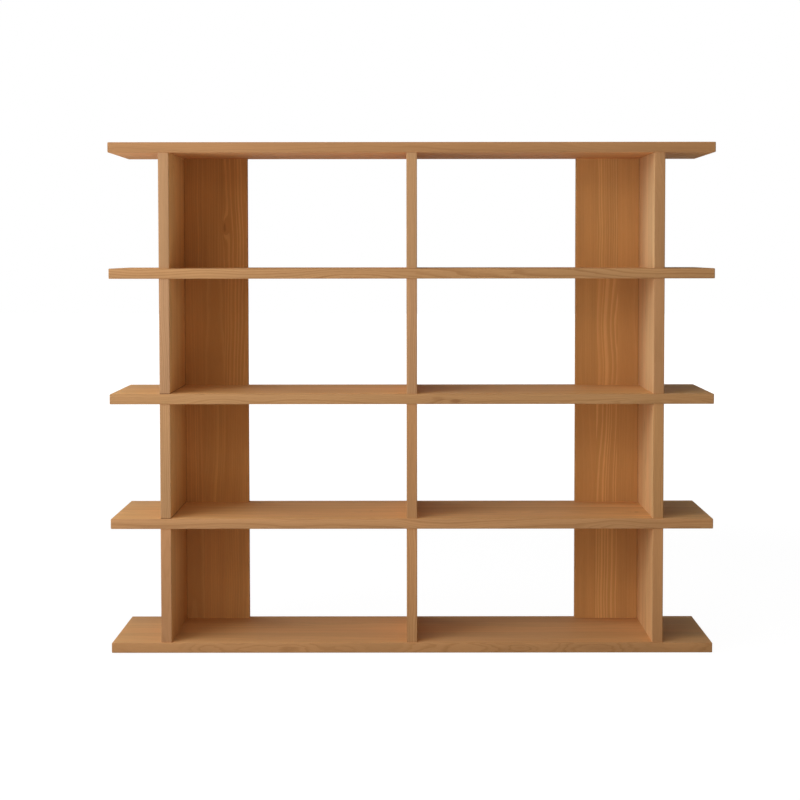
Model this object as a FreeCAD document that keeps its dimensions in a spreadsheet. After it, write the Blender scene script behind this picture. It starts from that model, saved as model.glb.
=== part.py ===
import FreeCAD, Part
import enum
import math
import os

import Sketcher

# An open bookcase of solid boards, in millimetres. Five long shelves lie one above the other. In each of
# the four storeys between them a side board stands at each end, a back panel runs inwards from each side
# board at the rear, and a divider stands in the middle. Three tie rods run up through the side boards and
# the dividers and clamp the stack, and loose tenons keep every board in its place.
# The front faces -Y and the origin is on the floor, under the middle of the shelves.

SIZES = {
    # The shelves and the storeys between them
    "shelf_length": 1600.0,
    "shelf_depth": 400.0,
    "shelf_thickness": 27.0,
    "shelf_arris": 1.5,
    "clear_height": 305.0,
    # The side boards and the dividers
    "upright_thickness": 28.0,
    "upright_arris": 1.5,
    "edge_setback": 4.0,
    "end_overhang": 132.0,
    # The back panels, each with a tongue in its side board
    "panel_width": 178.0,
    "panel_thickness": 27.0,
    "tongue_thickness": 8.0,
    "tongue_length": 8.0,
    "groove_clearance": 0.2,
    # The loose tenons between a shelf and the boards that meet it
    "tenon_thickness": 8.0,
    "tenon_width": 50.0,
    "tenon_inset": 80.0,
    "tenon_insertion": 20.0,
    "tenon_seat": 14.0,
    "tenon_chamfer": 1.0,
    "mortise_clearance": 0.2,
    # The tie rods and what they are screwed into
    "rod_diameter": 8.0,
    "rod_chamfer": 1.0,
    "rod_bore_clearance": 0.75,
    "rod_overrun": 2.0,
    "thread_clearance": 0.1,
    "insert_diameter": 12.0,
    "insert_length": 16.0,
    "insert_clearance": 0.1,
    "insert_end_gap": 2.0,
    # The nuts and washers in the counterbores under the base shelf
    "nut_across_flats": 13.0,
    "nut_height": 6.5,
    "washer_diameter": 24.0,
    "washer_thickness": 2.0,
    "counterbore_clearance": 1.0,
    "counterbore_margin": 2.0,
    # The felt glides that the bookcase stands on
    "glide_diameter": 28.0,
    "glide_height": 4.0,
    "glide_inset": 40.0,
}

# The shelves from the top down, and the storeys between them from the top down
SHELVES = ("top_shelf", "upper_shelf", "middle_shelf", "lower_shelf", "base_shelf")
STOREYS = ("top_storey", "upper_storey", "lower_storey", "bottom_storey")

# Sizes that follow from the sheet
PITCH = "(Sizes.clear_height + Sizes.shelf_thickness)"
UPRIGHT_DEPTH = "(Sizes.shelf_depth - 2 * Sizes.edge_setback)"
GROOVE_DEPTH = "(Sizes.tongue_length + Sizes.groove_clearance)"
MORTISE_DEPTH = "(Sizes.tenon_insertion + Sizes.mortise_clearance)"
SEAT_DEPTH = "(Sizes.tenon_seat + Sizes.mortise_clearance)"
NUT_STACK = "(Sizes.washer_thickness + Sizes.nut_height + Sizes.rod_overrun)"
COUNTERBORE_DEPTH = f"({NUT_STACK} + Sizes.counterbore_margin)"
ROD_BORE = "(Sizes.rod_diameter + 2 * Sizes.rod_bore_clearance)"
THREAD_BORE = "(Sizes.rod_diameter + 2 * Sizes.thread_clearance)"
INSERT_BORE = "(Sizes.insert_diameter + 2 * Sizes.insert_clearance)"
COUNTERBORE = "(Sizes.washer_diameter + 2 * Sizes.counterbore_clearance)"

# Places along a shelf, counted from its left end
LEFT_FACE = "Sizes.end_overhang"
DIVIDER_FACE = "(Sizes.shelf_length / 2 - Sizes.upright_thickness / 2)"
RIGHT_FACE = "(Sizes.shelf_length - Sizes.end_overhang - Sizes.upright_thickness)"
LEFT_PANEL_EDGE = f"({LEFT_FACE} + Sizes.upright_thickness)"
RIGHT_PANEL_EDGE = f"({RIGHT_FACE} - Sizes.panel_width)"
UPRIGHT_FACES = (LEFT_FACE, DIVIDER_FACE, RIGHT_FACE)
PANEL_EDGES = (LEFT_PANEL_EDGE, RIGHT_PANEL_EDGE)

# Places across a shelf, counted from its front edge
MID_DEPTH = "(Sizes.shelf_depth / 2)"
TENON_ROWS = (
    "(Sizes.edge_setback + Sizes.tenon_inset)",
    "(Sizes.shelf_depth - Sizes.edge_setback - Sizes.tenon_inset)",
)
GLIDE_ROWS = ("Sizes.glide_inset", "(Sizes.shelf_depth - Sizes.glide_inset)")
PANEL_MIDDLE = "(Sizes.shelf_depth - Sizes.edge_setback - Sizes.panel_thickness / 2)"

# What a new line, circle or constraint measures until its expressions are worked out
UNSET = 1.0
UPWARDS = FreeCAD.Vector(0, 0, 1)
ON_AXIS = "on the axis"


class Axis(enum.IntEnum):
    """Sketcher's numbers for the axes of a sketch. The X axis starts at the sketch's origin."""

    ALONG_X = -1
    ALONG_Y = -2


class Spot(enum.IntEnum):
    """Sketcher's numbers for the ends of a line and the centre of a circle."""

    START = 1
    END = 2
    CENTRE = 3


doc = FreeCAD.newDocument("bookcase")
sheet = doc.addObject("Spreadsheet::Sheet", "Sizes")
for row, (alias, value) in enumerate(SIZES.items(), start=1):
    sheet.set(f"A{row}", alias)
    sheet.set(f"B{row}", str(value))
    sheet.setAlias(f"B{row}", alias)
doc.recompute()


def along(face, half="Sizes.upright_thickness / 2"):
    """The middle of a board whose left face is at this place."""
    return f"({face} + {half})"


def shelf_underside(level):
    """The height of a shelf's underside, with level 0 at the top shelf."""
    storeys_below = len(STOREYS) - level
    return f"(Sizes.glide_height + {storeys_below} * {PITCH})"


def storey_floor(storey):
    """The height that a storey's boards stand at, which is the top of the shelf below them."""
    return f"({shelf_underside(storey + 1)} + Sizes.shelf_thickness)"


def place(part, from_left, from_front, height):
    """Puts a part's corner at a place counted from the left end and the front edge of the shelves."""
    part.setExpression("Placement.Base.x", f"{from_left} - Sizes.shelf_length / 2")
    part.setExpression("Placement.Base.y", f"{from_front} - Sizes.shelf_depth / 2")
    part.setExpression("Placement.Base.z", height)


def new_body(label):
    body = doc.addObject("PartDesign::Body", label)
    body.Label = label
    return body


def new_sketch(body, name, height=None):
    """A sketch on the body's XY plane, or on a plane at this height above it."""
    sketch = body.newObject("Sketcher::SketchObject", f"{body.Name}_{name}")
    plane = next(item for item in body.Origin.OriginFeatures if item.Role == "XY_Plane")
    sketch.AttachmentSupport = [(plane, "")]
    sketch.MapMode = "FlatFace"
    if height:
        sketch.setExpression("AttachmentOffset.Base.z", height)
    return sketch


def ties_to_origin(geometry, point, x, y):
    """Constraints that hold one point of a sketch, each with the expression that sizes it, if it has one."""
    ties = []
    for kind, axis, distance in (("DistanceX", Axis.ALONG_Y, x), ("DistanceY", Axis.ALONG_X, y)):
        if distance == ON_AXIS:
            ties.append((Sketcher.Constraint("PointOnObject", geometry, point, axis), None))
        else:
            tie = Sketcher.Constraint(kind, Axis.ALONG_X, Spot.START, geometry, point, UNSET)
            ties.append((tie, distance))
    return ties


def constrain(sketch, ties):
    """Adds constraints to a sketch and binds their sizes to the sheet."""
    numbers = sketch.addConstraint([constraint for constraint, _ in ties])
    for number, (_, expression) in zip(numbers, ties):
        if expression:
            sketch.setExpression(f"Constraints[{number}]", expression)


def draw_outline(sketch, corners):
    """A closed outline of straight lines, whose corners are given as pairs of expressions."""
    first = sketch.GeometryCount
    count = len(corners)
    turns = [2 * math.pi * corner / count for corner in range(count)]
    points = [FreeCAD.Vector(math.cos(turn), math.sin(turn), 0) for turn in turns]
    lines = [Part.LineSegment(points[i], points[(i + 1) % count]) for i in range(count)]
    sketch.addGeometry(lines, False)
    ties = []
    for i, (x, y) in enumerate(corners):
        after = first + (i + 1) % count
        ties.append((Sketcher.Constraint("Coincident", first + i, Spot.END, after, Spot.START), None))
        ties.extend(ties_to_origin(first + i, Spot.START, x, y))
    constrain(sketch, ties)


def draw_rectangle(sketch, middle_x, middle_y, width, depth):
    """A rectangle about a middle point, all four given as expressions."""
    left = f"({middle_x} - {width} / 2)"
    right = f"({middle_x} + {width} / 2)"
    front = f"({middle_y} - {depth} / 2)"
    rear = f"({middle_y} + {depth} / 2)"
    draw_outline(sketch, [(left, front), (right, front), (right, rear), (left, rear)])


def draw_circle(sketch, middle_x, middle_y, diameter):
    """A circle about a middle point, all three given as expressions."""
    circle = Part.Circle(FreeCAD.Vector(UNSET, UNSET, 0), UPWARDS, UNSET)
    number = sketch.addGeometry(circle, False)
    ties = ties_to_origin(number, Spot.CENTRE, middle_x, middle_y)
    ties.append((Sketcher.Constraint("Diameter", number, UNSET), diameter))
    constrain(sketch, ties)


def add_pad(body, sketch, length):
    pad = body.newObject("PartDesign::Pad", f"{body.Name}_pad")
    pad.Profile = sketch
    pad.setExpression("Length", length)
    doc.recompute([sheet, sketch, pad])
    return pad


def add_pocket(body, sketch, depth=None, upwards=False):
    """A pocket of this depth, or right through where no depth is given, cut down or up from its sketch."""
    pocket = body.newObject("PartDesign::Pocket", f"{sketch.Name}_pocket")
    pocket.Profile = sketch
    pocket.Reversed = upwards
    if depth:
        pocket.setExpression("Length", depth)
    else:
        pocket.Type = "ThroughAll"
    return pocket


def ease_edges(body, base, edges, size):
    """A small chamfer on the named edges of a body's last feature."""
    arris = body.newObject("PartDesign::Chamfer", f"{body.Name}_arris")
    arris.Base = (base, edges)
    arris.setExpression("Size", size)
    return arris


def upright_edges(shape, keep=lambda point: True):
    """The names of a shape's vertical edges, of those that keep picks by where they stand."""
    names = []
    for number, edge in enumerate(shape.Edges, start=1):
        foot, head = (vertex.Point for vertex in edge.Vertexes)
        is_vertical = math.isclose(foot.x, head.x) and math.isclose(foot.y, head.y)
        if is_vertical and keep(foot):
            names.append(f"Edge{number}")
    return names


def block(body, width, depth, height):
    """A plain board with one corner at the body's origin."""
    outline = new_sketch(body, "outline")
    corners = [(ON_AXIS, ON_AXIS), (width, ON_AXIS), (width, depth), (ON_AXIS, depth)]
    draw_outline(outline, corners)
    return add_pad(body, outline, height)


def widened(size):
    """A mortise's size for a tenon of this size."""
    return f"({size} + 2 * Sizes.mortise_clearance)"


def draw_tenon_mortises(sketch):
    """A mortise for each tenon of the boards that meet a shelf, seen from above."""
    thickness = widened("Sizes.tenon_thickness")
    width = widened("Sizes.tenon_width")
    for face in UPRIGHT_FACES:
        for tenon_row in TENON_ROWS:
            draw_rectangle(sketch, along(face), tenon_row, thickness, width)
    for edge in PANEL_EDGES:
        draw_rectangle(sketch, along(edge, "Sizes.panel_width / 2"), PANEL_MIDDLE, width, thickness)


def draw_rod_circles(sketch, diameter):
    """A circle at each tie rod, seen from above."""
    for face in UPRIGHT_FACES:
        draw_circle(sketch, along(face), MID_DEPTH, diameter)


def make_shelf(level):
    """A shelf, mortised where boards meet it and bored for the tie rods."""
    body = new_body(SHELVES[level])
    pad = block(body, "Sizes.shelf_length", "Sizes.shelf_depth", "Sizes.shelf_thickness")
    every_edge = [f"Edge{number}" for number in range(1, len(pad.Shape.Edges) + 1)]
    ease_edges(body, pad, every_edge, "Sizes.shelf_arris")
    is_top = level == 0
    is_base = level == len(SHELVES) - 1
    mortises = new_sketch(body, "mortises", "Sizes.shelf_thickness" if is_base else None)
    draw_tenon_mortises(mortises)
    is_blind = is_top or is_base
    add_pocket(body, mortises, SEAT_DEPTH if is_blind else None, upwards=not is_base)
    bores = new_sketch(body, "rod_bores")
    if is_top:
        draw_rod_circles(bores, INSERT_BORE)
        add_pocket(body, bores, "(Sizes.insert_length + Sizes.insert_end_gap)", upwards=True)
    else:
        draw_rod_circles(bores, ROD_BORE)
        add_pocket(body, bores, upwards=True)
    if is_base:
        recesses = new_sketch(body, "counterbores")
        draw_rod_circles(recesses, COUNTERBORE)
        add_pocket(body, recesses, COUNTERBORE_DEPTH, upwards=True)
    place(body, "0", "0", shelf_underside(level))
    return body


def cut_end_mortises(body, middles, width, depth):
    """Mortises about these middle points, in the foot and the head of a board between two shelves."""
    for name, height in (("foot", None), ("head", "Sizes.clear_height")):
        mortises = new_sketch(body, f"{name}_mortises", height)
        for middle_x, middle_y in middles:
            draw_rectangle(mortises, middle_x, middle_y, widened(width), widened(depth))
        add_pocket(body, mortises, MORTISE_DEPTH, upwards=height is None)


def make_upright(label, face, storey, groove_face=None):
    """A side board or a divider, bored for a tie rod. A side board has a groove for its back panel."""
    body = new_body(label)
    pad = block(body, "Sizes.upright_thickness", UPRIGHT_DEPTH, "Sizes.clear_height")
    ease_edges(body, pad, upright_edges(pad.Shape), "Sizes.upright_arris")
    mid_thickness = "(Sizes.upright_thickness / 2)"
    middles = [(mid_thickness, "Sizes.tenon_inset"), (mid_thickness, f"({UPRIGHT_DEPTH} - Sizes.tenon_inset)")]
    cut_end_mortises(body, middles, "Sizes.tenon_thickness", "Sizes.tenon_width")
    bore = new_sketch(body, "rod_bore")
    draw_circle(bore, mid_thickness, f"({UPRIGHT_DEPTH} / 2)", ROD_BORE)
    add_pocket(body, bore, upwards=True)
    if groove_face:
        groove = new_sketch(body, "panel_groove")
        groove_width = "(Sizes.tongue_thickness + 2 * Sizes.groove_clearance)"
        middle = f"({UPRIGHT_DEPTH} - Sizes.panel_thickness / 2)"
        front = f"({middle} - {groove_width} / 2)"
        rear = f"({middle} + {groove_width} / 2)"
        if groove_face == "right":
            mouth, floor = "Sizes.upright_thickness", f"(Sizes.upright_thickness - {GROOVE_DEPTH})"
        else:
            mouth, floor = ON_AXIS, GROOVE_DEPTH
        draw_outline(groove, [(mouth, front), (mouth, rear), (floor, rear), (floor, front)])
        add_pocket(body, groove, upwards=True)
    place(body, face, "Sizes.edge_setback", storey_floor(storey))
    return body


def make_back_panel(label, edge, storey, tongue_side):
    """A back panel, with a tongue along the upright edge that meets its side board."""
    body = new_body(label)
    on_left = tongue_side == "left"
    board_width = "(Sizes.panel_width + Sizes.tongue_length)"
    tongue_front = "((Sizes.panel_thickness - Sizes.tongue_thickness) / 2)"
    tongue_rear = "((Sizes.panel_thickness + Sizes.tongue_thickness) / 2)"
    if on_left:
        tip, shoulder, free_edge = ON_AXIS, "Sizes.tongue_length", board_width
        middle = "(Sizes.tongue_length + Sizes.panel_width / 2)"
    else:
        tip, shoulder, free_edge = board_width, "Sizes.panel_width", ON_AXIS
        middle = "(Sizes.panel_width / 2)"
    outline = new_sketch(body, "outline")
    corners = [
        (free_edge, ON_AXIS),
        (free_edge, "Sizes.panel_thickness"),
        (shoulder, "Sizes.panel_thickness"),
        (shoulder, tongue_rear),
        (tip, tongue_rear),
        (tip, tongue_front),
        (shoulder, tongue_front),
        (shoulder, ON_AXIS),
    ]
    draw_outline(outline, corners)
    pad = add_pad(body, outline, "Sizes.clear_height")
    box = pad.Shape.BoundBox
    free_x = box.XMax if on_left else box.XMin
    free_edges = upright_edges(pad.Shape, lambda point: abs(point.x - free_x) < abs(point.x - box.Center.x))
    ease_edges(body, pad, free_edges, "Sizes.upright_arris")
    cut_end_mortises(
        body, [(middle, "(Sizes.panel_thickness / 2)")], "Sizes.tenon_width", "Sizes.tenon_thickness"
    )
    left_edge = f"({edge} - Sizes.tongue_length)" if on_left else edge
    front = "(Sizes.shelf_depth - Sizes.edge_setback - Sizes.panel_thickness)"
    place(body, left_edge, front, storey_floor(storey))
    return body


def group(label, members):
    """One sub-part made of separate solids."""
    compound = doc.addObject("Part::Compound", label)
    compound.Label = label
    compound.Links = members
    return compound


def make_tenon(label, width, depth, length, middle_x, middle_y, height):
    """A loose tenon, with its edges eased so that it enters its mortises."""
    body = new_body(label)
    pad = block(body, width, depth, length)
    every_edge = [f"Edge{number}" for number in range(1, len(pad.Shape.Edges) + 1)]
    ease_edges(body, pad, every_edge, "Sizes.tenon_chamfer")
    place(body, f"({middle_x} - {width} / 2)", f"({middle_y} - {depth} / 2)", height)
    return body


def make_shelf_tenons(level):
    """The loose tenons at one shelf. At the middle shelves each passes through into both storeys."""
    name = SHELVES[level]
    is_top = level == 0
    is_base = level == len(SHELVES) - 1
    underside = shelf_underside(level)
    if is_top:
        length = "(Sizes.tenon_insertion + Sizes.tenon_seat)"
        foot = f"({underside} - Sizes.tenon_insertion)"
    elif is_base:
        length = "(Sizes.tenon_insertion + Sizes.tenon_seat)"
        foot = f"({underside} + Sizes.shelf_thickness - Sizes.tenon_seat)"
    else:
        length = "(Sizes.shelf_thickness + 2 * Sizes.tenon_insertion)"
        foot = f"({underside} - Sizes.tenon_insertion)"
    thickness = "Sizes.tenon_thickness"
    width = "Sizes.tenon_width"
    tenons = []
    middles = [(along(face), tenon_row) for face in UPRIGHT_FACES for tenon_row in TENON_ROWS]
    for number, middle in enumerate(middles, start=1):
        tenons.append(make_tenon(f"{name}_upright_tenon_{number}", thickness, width, length, *middle, foot))
    for number, edge in enumerate(PANEL_EDGES, start=1):
        middle = (along(edge, "Sizes.panel_width / 2"), PANEL_MIDDLE)
        tenons.append(make_tenon(f"{name}_panel_tenon_{number}", width, thickness, length, *middle, foot))
    return group(f"{name}_tenons", tenons)


def rod_places():
    """The middle of each tie rod, counted from the left end and the front edge of the shelves."""
    return [(along(face), MID_DEPTH) for face in UPRIGHT_FACES]


def make_cylinder(name, diameter, height, from_left, from_front, foot):
    cylinder = doc.addObject("Part::Cylinder", name)
    cylinder.setExpression("Radius", f"{diameter} / 2")
    cylinder.setExpression("Height", height)
    place(cylinder, from_left, from_front, foot)
    return cylinder


def make_tie_rods():
    """The rods, from under the base shelf's nuts up into the inserts in the top shelf."""
    foot = f"(Sizes.glide_height + {COUNTERBORE_DEPTH} - {NUT_STACK})"
    head = f"({shelf_underside(0)} + Sizes.insert_length)"
    rods = []
    for number, (from_left, from_front) in enumerate(rod_places(), start=1):
        body = new_body(f"tie_rod_{number}")
        outline = new_sketch(body, "outline")
        draw_circle(outline, ON_AXIS, ON_AXIS, "Sizes.rod_diameter")
        pad = add_pad(body, outline, f"{head} - {foot}")
        rims = [f"Edge{i}" for i, edge in enumerate(pad.Shape.Edges, start=1) if edge.isClosed()]
        ease_edges(body, pad, rims, "Sizes.rod_chamfer")
        place(body, from_left, from_front, foot)
        rods.append(body)
    return group("tie_rods", rods)


def make_rings(label, blanks, height, foot):
    """Bored pieces round the tie rods, such as washers, from their blanks."""
    bores = []
    for number, (from_left, from_front) in enumerate(rod_places(), start=1):
        bores.append(make_cylinder(f"{label}_bore_{number}", THREAD_BORE, height, from_left, from_front, foot))
    ring = doc.addObject("Part::Cut", label)
    ring.Label = label
    ring.Base = group(f"{label}_blanks", blanks)
    ring.Tool = group(f"{label}_bores", bores)
    return ring


def make_round_rings(label, diameter, height, foot):
    blanks = []
    for number, (from_left, from_front) in enumerate(rod_places(), start=1):
        blanks.append(make_cylinder(f"{label}_blank_{number}", diameter, height, from_left, from_front, foot))
    return make_rings(label, blanks, height, foot)


def make_nuts(label, foot):
    """Hexagon nuts, whose corners lie on a circle round their flats."""
    sides = 6
    blanks = []
    for number, (from_left, from_front) in enumerate(rod_places(), start=1):
        blank = doc.addObject("Part::Prism", f"{label}_blank_{number}")
        blank.Polygon = sides
        blank.setExpression("Circumradius", f"Sizes.nut_across_flats / 2 / cos(180 deg / {sides})")
        blank.setExpression("Height", "Sizes.nut_height")
        place(blank, from_left, from_front, foot)
        blanks.append(blank)
    return make_rings(label, blanks, "Sizes.nut_height", foot)


def make_glides():
    """Felt glides under the base shelf, below the side boards and the divider."""
    glides = []
    places = [(along(face), glide_row) for face in UPRIGHT_FACES for glide_row in GLIDE_ROWS]
    for number, (from_left, from_front) in enumerate(places, start=1):
        glide = make_cylinder(
            f"felt_glide_{number}", "Sizes.glide_diameter", "Sizes.glide_height", from_left, from_front, "0"
        )
        glides.append(glide)
    return group("felt_glides", glides)


def make_storey(storey):
    """The boards of one storey: two side boards, a divider and two back panels."""
    name = STOREYS[storey]
    return [
        make_upright(f"{name}_left_side", LEFT_FACE, storey, groove_face="right"),
        make_upright(f"{name}_right_side", RIGHT_FACE, storey, groove_face="left"),
        make_upright(f"{name}_divider", DIVIDER_FACE, storey),
        make_back_panel(f"{name}_left_back_panel", LEFT_PANEL_EDGE, storey, tongue_side="left"),
        make_back_panel(f"{name}_right_back_panel", RIGHT_PANEL_EDGE, storey, tongue_side="right"),
    ]


def make_fittings():
    """What is hidden in the boards and under the base shelf."""
    washer_foot = f"(Sizes.glide_height + {COUNTERBORE_DEPTH} - Sizes.washer_thickness)"
    nut_foot = f"({washer_foot} - Sizes.nut_height)"
    insert_foot = shelf_underside(0)
    return [
        make_tie_rods(),
        make_round_rings("rod_inserts", "Sizes.insert_diameter", "Sizes.insert_length", insert_foot),
        make_round_rings("rod_washers", "Sizes.washer_diameter", "Sizes.washer_thickness", washer_foot),
        make_nuts("rod_nuts", nut_foot),
        make_glides(),
    ]


def check_document():
    """Stops where an object failed, or where a pocket or a chamfer took nothing away."""
    for item in doc.Objects:
        if "Invalid" in item.State or "Error" in item.State:
            raise RuntimeError(f"{item.Label} did not build: {item.State}")
        if item.TypeId in ("PartDesign::Pocket", "PartDesign::Chamfer"):
            before = item.BaseFeature.Shape.Volume
            after = item.Shape.Volume
            if not after < before:
                raise RuntimeError(f"{item.Label} took nothing away")


def export(parts):
    """Writes each sub-part to its own file, named after its label."""
    os.makedirs("parts", exist_ok=True)
    for part in parts:
        if part.Shape.isNull() or not part.Shape.isValid():
            raise RuntimeError(f"{part.Label} has no valid shape")
    for part in parts:
        part.Shape.exportStep(os.path.join("parts", f"{part.Label}.step"))
        print(f"{part.Label}: {len(part.Shape.Solids)} solid(s), {part.Shape.Volume:.0f} mm3")


sub_parts = [make_shelf(level) for level in range(len(SHELVES))]
for storey_number in range(len(STOREYS)):
    sub_parts.extend(make_storey(storey_number))
sub_parts.extend(make_shelf_tenons(level) for level in range(len(SHELVES)))
sub_parts.extend(make_fittings())
doc.recompute()
check_document()
export(sub_parts)
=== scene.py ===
import logging
import math
from dataclasses import dataclass, replace
from enum import Enum

import bmesh
import bpy
from mathutils import Matrix, Vector


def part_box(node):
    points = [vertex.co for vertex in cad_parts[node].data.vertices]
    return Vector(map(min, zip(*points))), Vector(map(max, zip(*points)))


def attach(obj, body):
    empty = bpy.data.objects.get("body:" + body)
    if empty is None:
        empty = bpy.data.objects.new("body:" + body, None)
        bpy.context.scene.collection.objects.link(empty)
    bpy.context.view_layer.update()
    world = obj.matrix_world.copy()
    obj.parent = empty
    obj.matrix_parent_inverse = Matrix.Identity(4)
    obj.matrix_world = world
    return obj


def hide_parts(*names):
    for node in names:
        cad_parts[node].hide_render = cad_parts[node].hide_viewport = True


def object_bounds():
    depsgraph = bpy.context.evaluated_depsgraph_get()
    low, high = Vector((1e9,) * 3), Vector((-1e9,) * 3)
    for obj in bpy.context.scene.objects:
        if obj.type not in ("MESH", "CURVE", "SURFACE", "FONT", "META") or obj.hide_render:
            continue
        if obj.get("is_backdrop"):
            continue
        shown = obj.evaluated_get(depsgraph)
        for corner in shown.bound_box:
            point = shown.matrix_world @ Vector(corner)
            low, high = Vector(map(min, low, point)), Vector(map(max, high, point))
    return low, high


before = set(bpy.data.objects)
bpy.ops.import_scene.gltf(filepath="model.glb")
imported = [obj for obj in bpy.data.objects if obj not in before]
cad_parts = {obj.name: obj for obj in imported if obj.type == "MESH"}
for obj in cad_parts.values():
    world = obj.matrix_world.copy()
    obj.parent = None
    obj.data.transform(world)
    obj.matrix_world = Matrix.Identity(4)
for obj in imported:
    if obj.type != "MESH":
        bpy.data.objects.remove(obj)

# The open bookcase: boards of oiled softwood, glued up from staves, which tie rods clamp together. Sizes with
# MM are real sizes, and the scene is in metres. The materials measure their patterns in millimetres.

MM = 0.001
BODY = "root"
FULL_TURN = 2 * math.pi
LOG = logging.getLogger("bookcase")

Triple = tuple[float, float, float]
Colour = tuple[float, float, float, float]


def colour(*channels: int) -> Colour:
    """Turn a display colour into the scene's linear colour.

    Args:
        *channels: Its red, green and blue, from 0 to 255.

    Returns:
        The linear colour, with an alpha of 1.
    """
    shares = [channel / 255 for channel in channels]
    linear = [share / 12.92 if share <= 0.04045 else ((share + 0.055) / 1.055) ** 2.4 for share in shares]
    return (*linear, 1.0)


@dataclass(frozen=True)
class Signal:
    """One output in a node tree. Sums with it add the nodes that reckon them."""

    wiring: "Wiring"
    socket: bpy.types.NodeSocket

    def __add__(self, other: "Value") -> "Signal":
        """The sum."""
        return self.wiring.math("ADD", self, other)

    def __sub__(self, other: "Value") -> "Signal":
        """The difference."""
        return self.wiring.math("SUBTRACT", self, other)

    def __mul__(self, other: "Value") -> "Signal":
        """The product."""
        return self.wiring.math("MULTIPLY", self, other)

    def __truediv__(self, other: "Value") -> "Signal":
        """The quotient."""
        return self.wiring.math("DIVIDE", self, other)

    def __abs__(self) -> "Signal":
        """The size without its sign."""
        return self.wiring.math("ABSOLUTE", self)


Value = float | str | tuple[float, ...] | bpy.types.Material | Signal
Inputs = dict[str | int, Value | None]
Signals = dict[str, Signal]


class Wiring:
    """Adds and links the nodes of one tree."""

    def __init__(self, tree: bpy.types.NodeTree) -> None:
        """Start on a tree, and empty it."""
        self.tree = tree
        tree.nodes.clear()

    @staticmethod
    def pick(sockets: bpy.types.bpy_prop_collection, key: str | int) -> bpy.types.NodeSocket:
        """The socket with this identifier, or else with this name or number."""
        return next((socket for socket in sockets if socket.identifier == key), None) or sockets[key]

    def add(self, kind: str, inputs: Inputs | None = None, **settings: object) -> bpy.types.Node:
        """Add a node.

        Args:
            kind: The node's type.
            inputs: What its inputs take. An input that gets None stays as it is.
            **settings: The node's own options.

        Returns:
            The node.
        """
        node = self.tree.nodes.new(kind)
        for option, choice in settings.items():
            setattr(node, option, choice)
        for key, value in (inputs or {}).items():
            if isinstance(value, Signal):
                self.tree.links.new(value.socket, self.pick(node.inputs, key))
            elif value is not None:
                self.pick(node.inputs, key).default_value = value
        return node

    def get(self, kind: str, inputs: Inputs | None = None, output: str | int = 0, **settings: object) -> Signal:
        """Add a node in the same way, and take one of its outputs."""
        return Signal(self, self.pick(self.add(kind, inputs, **settings).outputs, output))

    def math(self, operation: str, first: Value, second: Value | None = None, clamp: bool = False) -> Signal:
        """One sum of numbers, held between 0 and 1 where it is clamped."""
        return self.get("ShaderNodeMath", {0: first, 1: second}, operation=operation, use_clamp=clamp)

    def vector(self, operation: str, first: Value, second: Value | None = None) -> Signal:
        """One sum of vectors, which gives a number for a length."""
        output = "Value" if operation == "LENGTH" else "Vector"
        return self.get("ShaderNodeVectorMath", {0: first, 1: second}, output, operation=operation)

    def scale(self, vector: Value, factor: float) -> Signal:
        """A vector times a plain number."""
        return self.vector("MULTIPLY", vector, (factor, factor, factor))

    def split(self, vector: Signal) -> tuple[Signal, ...]:
        """The three parts of a vector."""
        return tuple(Signal(self, part) for part in self.add("ShaderNodeSeparateXYZ", {0: vector}).outputs)

    def join(self, x: Value, y: Value, z: Value) -> Signal:
        """A vector from its three parts."""
        return self.get("ShaderNodeCombineXYZ", {0: x, 1: y, 2: z})

    def blend(self, share: Value, low: Value, high: Value) -> Signal:
        """The value between low and high at this share."""
        return self.get("ShaderNodeMapRange", {"Value": share, "To Min": low, "To Max": high}, clamp=False)

    def step(self, value: Value, start: Value, end: Value) -> Signal:
        """A smooth rise from 0 at start to 1 at end, or a fall where start is above end."""
        inputs = {"Value": value, "From Min": start, "From Max": end}
        return self.get("ShaderNodeMapRange", inputs, interpolation_type="SMOOTHSTEP")

    def tint(self, share: Value, first: Value, second: Value, blend_type: str = "MIX") -> Signal:
        """One colour laid over another, as much as this share says."""
        inputs = {"Factor_Float": share, "A_Color": first, "B_Color": second}
        return self.get("ShaderNodeMix", inputs, "Result_Color", data_type="RGBA", blend_type=blend_type)

    def noise(self, vector: Value, detail: float = 2.0, roughness: float = 0.5, output: int = 0) -> Signal:
        """Smooth noise whose features are about one unit of the vector long."""
        inputs = {"Vector": vector, "Scale": 1.0, "Detail": detail, "Roughness": roughness}
        return self.get("ShaderNodeTexNoise", inputs, output, noise_dimensions="3D")

    def scatter(self, value: Value) -> tuple[Signal, ...]:
        """Three random numbers from 0 to 1 that belong to this value."""
        return self.split(self.get("ShaderNodeTexWhiteNoise", {"W": value}, "Color", noise_dimensions="1D"))

    def place(self) -> Signal:
        """The place on the piece, in metres."""
        return self.get("ShaderNodeTexCoord", output="Object")

    def bump(self, height: Signal, strength: float, depth: float) -> Signal:
        """The normals of a surface that rises and falls by up to this depth."""
        return self.get("ShaderNodeBump", {"Strength": strength, "Distance": depth, "Height": height})

    def surface(self, inputs: Inputs) -> None:
        """End a material in the principled surface."""
        self.add("ShaderNodeOutputMaterial", {"Surface": self.get("ShaderNodeBsdfPrincipled", inputs)})


def new_material(name: str) -> tuple[bpy.types.Material, Wiring]:
    """An empty material, and the wiring of its tree."""
    made = bpy.data.materials.new(name)
    made.use_nodes = True
    return made, Wiring(made.node_tree)


def add_object(name: str, data: bpy.types.ID) -> bpy.types.Object:
    """A new object in the scene, with this mesh, lamp or lens."""
    made = bpy.data.objects.new(name, data)
    bpy.context.scene.collection.objects.link(made)
    return made


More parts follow.
